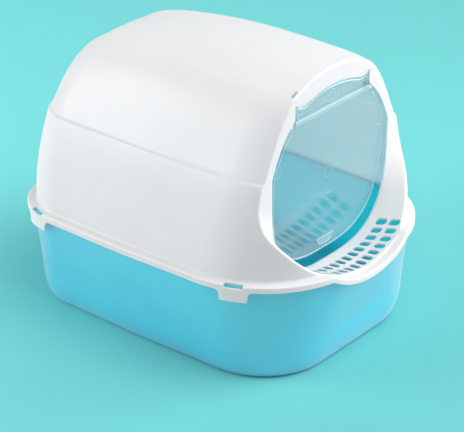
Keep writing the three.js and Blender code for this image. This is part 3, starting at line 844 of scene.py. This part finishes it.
def front_round():
    """The sliver of material outside a round that runs along the front's edge."""
    edge, facing, outward = front_edge()
    along = np.minimum(1.0, np.arange(len(edge)) / sill_steps * 1.6)[:, None]
    radius = lip_round + (crest_round - lip_round) * along
    both = np.sum(facing * outward, axis=1)[:, None]
    inward = unit(both * facing - outward)
    backward = unit(both * outward - facing)
    half = np.arccos(np.sum(inward * backward, axis=1))[:, None] / 2
    reach = radius / np.tan(half)
    centre = edge + unit(inward + backward) * radius / np.sin(half)
    first = edge + inward * reach - centre
    last = edge + backward * reach - centre
    span = math.pi - 2 * half
    section = []
    for share in np.linspace(0, 1, 7):
        weight = np.sin((1 - share) * span), np.sin(share * span)
        section.append(centre + (first * weight[0] + last * weight[1]) / np.sin(span))
    section.append(section[-1] + outward * round_reach)
    section.append(edge + (facing + outward) * round_reach)
    section.append(section[0] + facing * round_reach)
    return band("front_round", [close_ring(points) for points in section])


front_round_tool = front_round()
hood = cut(hood_outer, scoop_space("scoop", 0.0))
hood.name = "hood_moulding"
hood = cut(hood, front_round_tool)
hood_inner = cut(hood_inner, scoop_space("scoop_back", hood_wall))
hood = cut(hood, hood_inner)
hood = cut(hood, below_skirt)
doorway_half = half_doorway()
doorway = loft("doorway", [
    doorway_ring(doorway_half, frame_plane + 2 * hood_wall),
    doorway_ring(doorway_half, frame_plane - 0.02),
])
hood = cut(hood, doorway)

# The four clips: tabs that hang from the skirt, a snap hook inside each, and a window above it
# through which the tray's rim shows.
clip_drop = 15.0
clip_top_length = 53.0
clip_bottom_length = 37.0
window_length = 26.0
window_depth = 8.0
window_skirt_cut = 4.2
hook_length = 24.0
hook_reach = 2.4
hook_height = 4.0
corner_round = 2.0
clip_corners = [
    (rim_plan["front_radius"], rim_plan["front"] + rim_plan["front_radius"], -23.2),
    (rim_plan["back_radius"], rim_plan["back"] - rim_plan["back_radius"], 16.4),
]


def clip_places():
    """The frame of each clip: its point on the skirt, and the ways along, up and out."""
    places = []
    for radius, centre_y, degrees in clip_corners:
        turn = math.radians(degrees)
        for side in (-1, 1):
            out = np.array([side * math.cos(turn), math.sin(turn), 0.0])
            point = np.array([side * (rim_plan["half_width"] - radius), centre_y, 0.0]) + out * radius
            places.append((point, np.array([-out[1], out[0], 0.0]), np.array([0.0, 0.0, 1.0]), out))
    return places


def prism(name, outline, frame_axes, low, high):
    """An outline run along the third way of a frame, from low to high."""
    point, first, second, third = frame_axes
    flat = np.array([point + a * first + b * second for a, b in outline])
    count = len(flat)
    faces = skin([flat, flat], 1)
    faces += [tuple(range(count - 1, -1, -1)), tuple(range(count, 2 * count))]
    return solid(name, np.concatenate([flat + low * third, flat + high * third]), faces)


def round_rect(low, high, radius, steps=5):
    """The outline of a rectangle with round corners, counterclockwise."""
    (x0, y0), (x1, y1) = low, high
    return [
        *rounded((x1, y0), (1, 0), (0, 1), radius, steps),
        *rounded((x1, y1), (0, 1), (-1, 0), radius, steps),
        *rounded((x0, y1), (-1, 0), (0, -1), radius, steps),
        *rounded((x0, y0), (0, -1), (1, 0), radius, steps),
    ]


def tab_outline():
    """A tab hangs with flared sides and round lower corners."""
    low = skirt_bottom - clip_drop
    half_top, half_bottom = clip_top_length / 2, clip_bottom_length / 2
    right = [*rounded((half_bottom, low), (1, 0), (0, 1), corner_round, 5)]
    for t in np.linspace(0, 1, 11)[1:]:
        foot = np.array([half_bottom, low + corner_round * 2])
        bend = np.array([half_bottom, skirt_bottom])
        flare = np.array([half_top, skirt_bottom])
        right.append((1 - t) ** 2 * foot + 2 * t * (1 - t) * bend + t * t * flare)
    right.append(np.array([half_top, skirt_bottom + skirt_thickness]))
    return right + [point * np.array([-1, 1]) for point in right[::-1]]


def joined(name, pieces):
    """Several separate solids as one, for a single cut."""
    points, faces = [], []
    for piece in pieces:
        faces += [tuple(k + len(points) for k in face.vertices) for face in piece.data.polygons]
        points += [tuple(v.co / MM) for v in piece.data.vertices]
        mesh = piece.data
        bpy.data.objects.remove(piece)
        bpy.data.meshes.remove(mesh)
    return solid(name, points, faces)


def strip_section(inner, low, high, edge):
    """The rings of a strip of skirt with a round lower edge."""
    return section_rings(rim_plan, [
        *rounded((0, low), (-1, 0), (0, 1), edge, edge_steps),
        (0, high),
        (inner, high),
        *rounded((inner, low), (0, -1), (-1, 0), edge, edge_steps),
    ], 0.0)


places = clip_places()
tab_low = skirt_bottom - clip_drop
tabs = cut(
    band("tabs", strip_section(skirt_thickness, tab_low, skirt_bottom + skirt_thickness, rim_edge)),
    joined("tab_prisms", [prism("tab", tab_outline(), place, -overrun, overrun) for place in places]),
    "INTERSECT",
)
hood = cut(hood, tabs, "UNION")
hook_top = tray_top - rim_thickness - seat_gap
hook_low = hook_top - hook_height
hook_strip = band("hook_strip", section_rings(rim_plan, [
    (skirt_thickness / 2, hook_low),
    (skirt_thickness / 2, hook_top),
    (skirt_thickness + hook_reach, hook_top),
    (skirt_thickness + hook_reach, hook_top - hook_height / 3),
    (skirt_thickness, hook_low),
], 0.0))
hook_outline = [
    (-hook_length / 2, hook_low - overrun),
    (hook_length / 2, hook_low - overrun),
    (hook_length / 2, hook_top + overrun),
    (-hook_length / 2, hook_top + overrun),
]
hook_prisms = [prism("hook", hook_outline, place, -overrun, overrun) for place in places]
hooks = cut(hook_strip, joined("hook_prisms", hook_prisms), "INTERSECT")
hood = cut(hood, hooks, "UNION")

window_high = flange_top + flange_fillet + corner_round
for place in places:
    point, along, up, out = place
    from_above = (point, along, out, up)
    half_window = window_length / 2
    in_flange = round_rect((-half_window, -window_depth), (half_window, overrun), corner_round)
    in_skirt = round_rect(
        (-half_window, flange_top - window_skirt_cut),
        (half_window, window_high + corner_round),
        corner_round,
    )
    hood = cut(hood, prism("window", in_flange[::-1], from_above, plate_bottom - seat_gap, window_high))
    hood = cut(hood, prism("window", in_skirt, place, -skirt_thickness - skirt_gap, overrun))

# The step's drain holes: two rows of fourteen slots with round ends, fanned out along the scoop.
hole_length = 17.0
hole_width = 9.4
hole_pitch = 13.4
holes_per_side = 7
hole_row_shares = [0.39, 0.78]
hole_end_steps = 10


def drain_holes():
    holes = []
    radius = hole_width / 2
    straight = hole_length / 2 - radius
    ends = np.linspace(-math.pi / 2, math.pi / 2, hole_end_steps + 1)
    outline = [(straight + radius * math.cos(t), radius * math.sin(t)) for t in ends]
    outline += [(-x, -y) for x, y in outline]
    low = skirt_bottom - dip_depth - overrun
    sill = sill_points(0)
    for share in hole_row_shares:
        for k in range(holes_per_side):
            sill_x = hole_pitch * (k + 0.5)
            ruling = [np.interp(sill_x, sill[:, 0], rulings[:, axis]) for axis in range(2)]
            for side in (-1, 1):
                x = side * (sill_x + share * ruling[0])
                y = frame_plane + share * ruling[1]
                turn = math.atan2(ruling[1], side * ruling[0])
                first = np.array([math.cos(turn), math.sin(turn), 0.0])
                second = np.array([-math.sin(turn), math.cos(turn), 0.0])
                axes = (np.array([x, y, 0.0]), first, second, np.array([0.0, 0.0, 1.0]))
                holes.append(prism("hole", outline, axes, low, low + 2 * overrun))
    return joined("drain_holes", holes)


hood = cut(hood, drain_holes())

# The bearings behind the frame that take the door's pins, and the two slots through the shoulders.
hinge_height = 340.0
shaft_y = frame_plane + 6.5
pin_radius = 2.5
pin_gap = 0.35
bearing_wall = 3.6
bearing_length = 8.0
bearing_radius = pin_radius + pin_gap + bearing_wall
bearing_start = notch_half_width + skirt_gap
rod_steps = 40


def across(y=0.0, z=0.0):
    """The ways of a section in the upright plane that is run along X."""
    along_x, along_y, along_z = np.eye(3)
    return np.array([0.0, y, z]), along_y, along_z, along_x


def rod(name, radius, from_x, to_x, y, z):
    """A rod along X."""
    turns = np.linspace(0, 2 * math.pi, rod_steps, endpoint=False)
    outline = [(radius * math.cos(t), radius * math.sin(t)) for t in turns]
    return prism(name, outline, across(y, z), from_x, to_x)


for side in (-1, 1):
    ends = sorted((side * bearing_start, side * (bearing_start + bearing_length)))
    eye = rod("bearing", bearing_radius, *ends, shaft_y, hinge_height)
    front = frame_plane + hood_wall / 2
    lug_outline = [
        (front, hinge_height),
        (shaft_y, hinge_height),
        (shaft_y, hinge_height + bearing_radius),
        (front, hinge_height + bearing_radius),
    ]
    eye = cut(eye, prism("lug", lug_outline, across(), *ends), "UNION")
    ahead_outline = [
        (front - overrun, 0),
        (front, 0),
        (front, crown_middle),
        (front - overrun, crown_middle),
    ]
    eye = cut(eye, prism("ahead", ahead_outline, across(), ends[0] - overrun, ends[1] + overrun))
    hood = cut(hood, eye, "UNION")
    pin_ends = sorted((
        side * (notch_half_width - bearing_wall),
        side * (bearing_start + bearing_length + hood_wall),
    ))
    hood = cut(hood, rod("pin_hole", pin_radius + pin_gap, *pin_ends, shaft_y, hinge_height))

shell_slot_length = 11.0
shell_slot_width = 4.6
shell_slot_x = 76.5
shell_slot_height = 380.5
shell_slot_setback = 5.5
for side in (-1, 1):
    half_length, half_width = shell_slot_length / 2, shell_slot_width / 2
    outline = round_rect((-half_length, -half_width), (half_length, half_width), 1.0)
    centre = np.array([side * shell_slot_x, frame_plane + shell_slot_setback, shell_slot_height])
    slope = math.sqrt(0.5)
    axes = (
        centre,
        np.array([slope, 0.0, -side * slope]),
        np.array([0.0, 1.0, 0.0]),
        np.array([-side * slope, 0.0, -slope]),
    )
    hood = cut(hood, prism("slot", outline, axes, -half_length, half_length))


def finish_surface(piece, degrees):
    """Smooth shading led by the large faces, so that the rounds blend into the flats."""
    smooth_by_angle(piece, degrees)
    step = piece.modifiers.new("weighted", "WEIGHTED_NORMAL")
    step.keep_sharp = True
    step.weight = 60


finish_surface(hood, 32)
hood_white = moulded_plastic(
    "hood_white", linear(240, 239, 239), linear(236, 235, 236), 0.4, 0.00012,
    through=0.4, reach=(11.0, 11.0, 11.0), skin_gloss=0.0,
)
# The faces inside get a copy of the white with a painted blue tint, which stands in for the light that
# bounces up from the blue tray.
hood_inside_painted_bounce = moulded_plastic(
    "hood_inside_painted_bounce", linear(209, 232, 236), linear(204, 228, 233), 0.4, 0.00012,
    through=1.0, reach=(7.5, 9.0, 9.0), skin_gloss=0.0,
)
hood.data.materials.clear()
hood.data.materials.append(hood_white)
line_inside(hood, (0, 0, skirt_bottom), (-width, frame_plane + 0.5, 0), hood_inside_painted_bounce)
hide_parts("hood")
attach(hood, "hood")

# The door: one clear, faintly blue moulding. A lower flap and a small upper one meet at the shaft,
# whose pins turn in the bearings; a bead stiffens their edges and a half-moon grip stands low down.
door_thickness = 2.4
door_recess = 0.8
door_lean = 10.5
door_side_gap = 6.5
door_bottom_gap = 8.5
door_top_gap = 1.4
door_ear_gap = 2.2
door_edge = 0.5
bead_inset = 0.5
bead_width = 3.4
bead_height = 1.1
bead_steps = 8
shaft_width = 7.0
shaft_stand = 1.6
shaft_round = 1.4
shaft_end = notch_half_width - 2.5
pin_length = 9.0
door_notch_radius = 9.4
grip_width = 38.0
grip_drop = 12.0
grip_rise = 20.0
grip_stand = 2.2
grip_wall = 1.8
grip_web = 0.4
grip_steps = 20
door_sill = doorway_sill + door_bottom_gap


def door_depth(z):
    below = np.maximum(0, hinge_height - np.asarray(z, float))
    return frame_plane + door_recess + door_lean * below / (hinge_height - doorway_sill)


def moved_in(half, amount):
    """A half outline with its edge moved in evenly, its corners mitred."""
    mirror = np.array([-1.0, 1.0])
    padded = np.concatenate([[half[1] * mirror], half, [half[-2] * mirror]])
    runs = unit(np.diff(padded, axis=0))
    normals = np.stack([-runs[:, 1], runs[:, 0]], 1)
    both = normals[:-1] + normals[1:]
    share = np.maximum(0.35, 1 + np.sum(normals[:-1] * normals[1:], axis=1))[:, None]
    moved = half + both / share * amount
    moved[[0, -1], 0] = 0.0
    return moved


def without_repeats(half):
    half = np.array(half, float)
    kept = [half[0]]
    for point in half[1:]:
        if np.linalg.norm(point - kept[-1]) > 0.2:
            kept.append(point)
    return np.array(kept)


def door_ring(half, inset, depth):
    moved = moved_in(half, inset)
    return doorway_ring(moved, door_depth(moved[:, 1]) + depth)


def door_plate(name, half, front=0.0, back=door_thickness, edge=door_edge):
    """A plate of the door with round edges, between two depths behind its front face."""
    return loft(name, [
        door_ring(half, edge, back),
        door_ring(half, edge * 0.3, back - edge * 0.3),
        door_ring(half, 0, back - edge),
        door_ring(half, 0, front + edge),
        door_ring(half, edge * 0.3, front + edge * 0.3),
        door_ring(half, edge, front),
    ])


def door_bead(name, half):
    """A half-round bead along the inside of an outline's edge."""
    rings = []
    for turn in np.linspace(0, math.pi, bead_steps + 1):
        inset = bead_inset + bead_width / 2 * (1 - math.cos(turn))
        rings.append(door_ring(half, inset, -bead_height * math.sin(turn)))
    root = door_thickness / 2
    rings.append(door_ring(half, bead_inset + bead_width, root))
    rings.append(door_ring(half, bead_inset, root))
    return band(name, rings)


def clear_plastic(name, milk, tint):
    """Clear plastic: mostly see-through with a faint tint, glossier at a glance, and a share of
    milk that scatters light. Fine ripples from the mould bend its gloss."""
    material, surface = material_start(name)
    place = surface.node("ShaderNodeTexCoord").outputs["Object"]
    ripple = surface.node("ShaderNodeTexNoise", Vector=place, Scale=30.0, Detail=2.0)
    speck = surface.node("ShaderNodeTexNoise", Vector=place, Scale=700.0, Detail=2.0)
    ripple, speck = surface.of(ripple.outputs["Fac"]), surface.of(speck.outputs["Fac"])
    bump = surface.node("ShaderNodeBump", Strength=0.04, Distance=0.0004, Height=ripple + speck * 0.05)
    facing = surface.of(surface.node("ShaderNodeLayerWeight", Blend=0.5).outputs["Facing"])
    see = surface.node("ShaderNodeBsdfTransparent", Color=tint)
    body = surface.node("ShaderNodeBsdfPrincipled", IOR=1.5)
    surface.feed(body.inputs["Base Color"], ripple.mix(linear(205, 236, 244), linear(216, 240, 247)))
    surface.feed(body.inputs["Roughness"], 0.3 + speck * 0.1)
    gloss = surface.node("ShaderNodeBsdfPrincipled", Metallic=1.0)
    surface.feed(gloss.inputs["Base Color"], (1.0, 1.0, 1.0, 1.0))
    surface.feed(gloss.inputs["Roughness"], 0.004 + speck * 0.006)
    surface.feed(gloss.inputs["Normal"], bump.outputs[0])
    milkiness = ripple * 0.04 + (milk - 0.02)
    cloudy = surface.node("ShaderNodeMixShader", Fac=milkiness, n1=see.outputs[0], n2=body.outputs[0])
    glance = facing ** 5 * 0.9 + 0.07
    shine = surface.node("ShaderNodeMixShader", Fac=glance, n1=cloudy.outputs[0], n2=gloss.outputs[0])
    surface.feed(surface.socket, shine.outputs[0])
    return material


door_clear = clear_plastic("door_clear", 0.09, (0.93, 0.97, 0.98, 1.0))
door_ribs = clear_plastic("door_ribs", 0.36, (0.9, 0.95, 0.96, 1.0))


def made_of(piece, material):
    piece.data.materials.clear()
    piece.data.materials.append(material)
    return piece


outline = half_doorway(side=door_side_gap, bottom=door_bottom_gap, top=door_top_gap, ear=door_ear_gap)
kept = outline[outline[:, 1] < hinge_height - 1]
lower_half = without_repeats([*kept, [kept[-1][0], hinge_height], [0, hinge_height]])
kept = outline[outline[:, 1] > hinge_height + 1]
upper_half = without_repeats([[0, hinge_height], [kept[0][0], hinge_height], *kept])

door = made_of(door_plate("door_moulding", lower_half), door_clear)
door = cut(door, made_of(door_plate("upper_flap", upper_half), door_clear), "UNION")
door = cut(door, made_of(door_bead("lower_bead", lower_half), door_ribs), "UNION")
door = cut(door, made_of(door_bead("upper_bead", upper_half), door_ribs), "UNION")
for side in (-1, 1):
    ends = sorted((side * shaft_end, side * (doorway_half_width + overrun)))
    door = cut(door, rod("door_notch", door_notch_radius, *ends, shaft_y, hinge_height))

shaft_front = frame_plane + door_recess - shaft_stand
shaft_section = round_rect(
    (shaft_front, hinge_height - shaft_width / 2),
    (shaft_y + pin_radius, hinge_height + shaft_width / 2),
    shaft_round,
)
shaft = prism("shaft", shaft_section, across(), -shaft_end, shaft_end)
pins = rod("pins", pin_radius, -shaft_end - pin_length, shaft_end + pin_length, shaft_y, hinge_height)
door = cut(door, made_of(cut(shaft, pins, "UNION"), door_ribs), "UNION")


def grip_half(wall):
    """Half of the grip's half-moon outline, moved in by a wall."""
    top = door_sill + grip_rise
    turns = np.linspace(0, math.pi / 2, grip_steps + 1)
    curve = np.stack([grip_width / 2 * np.sin(turns), top - grip_drop * np.cos(turns)], 1)
    half = np.concatenate([curve, [[0, top]]])
    return moved_in(half, wall) if wall else half


grip = door_plate("grip", grip_half(0), -grip_stand, door_thickness / 2)
door = cut(door, made_of(grip, door_ribs), "UNION")
grip_dish = door_plate("grip_dish", grip_half(grip_wall), -2 * grip_stand, -grip_web)
door = cut(door, made_of(grip_dish, door_ribs))

# Faint rings that the mould's ejector pins leave on the door's face.
ring_centres = [(0, 246), (0, 355), (0, 140), (-109, 283.5), (109, 283.5)]
ring_radius = 7.6
ring_width = 1.0
ring_stand = 0.25
ring_root = 0.6
ring_steps = 48
for x, z in ring_centres:
    turns = np.linspace(0, 2 * math.pi, ring_steps, endpoint=False)
    rings = []
    for radius, depth in (
        (ring_radius + ring_width, ring_root),
        (ring_radius + ring_width, 0.0),
        (ring_radius + ring_width / 2, -ring_stand),
        (ring_radius, 0.0),
        (ring_radius, ring_root),
    ):
        heights = z + radius * np.sin(turns)
        rings.append(np.column_stack([x + radius * np.cos(turns), door_depth(heights) + depth, heights]))
    door = cut(door, made_of(band("ejector_ring", rings), door_ribs), "UNION")

finish_surface(door, 35)
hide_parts("door")
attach(door, "door")
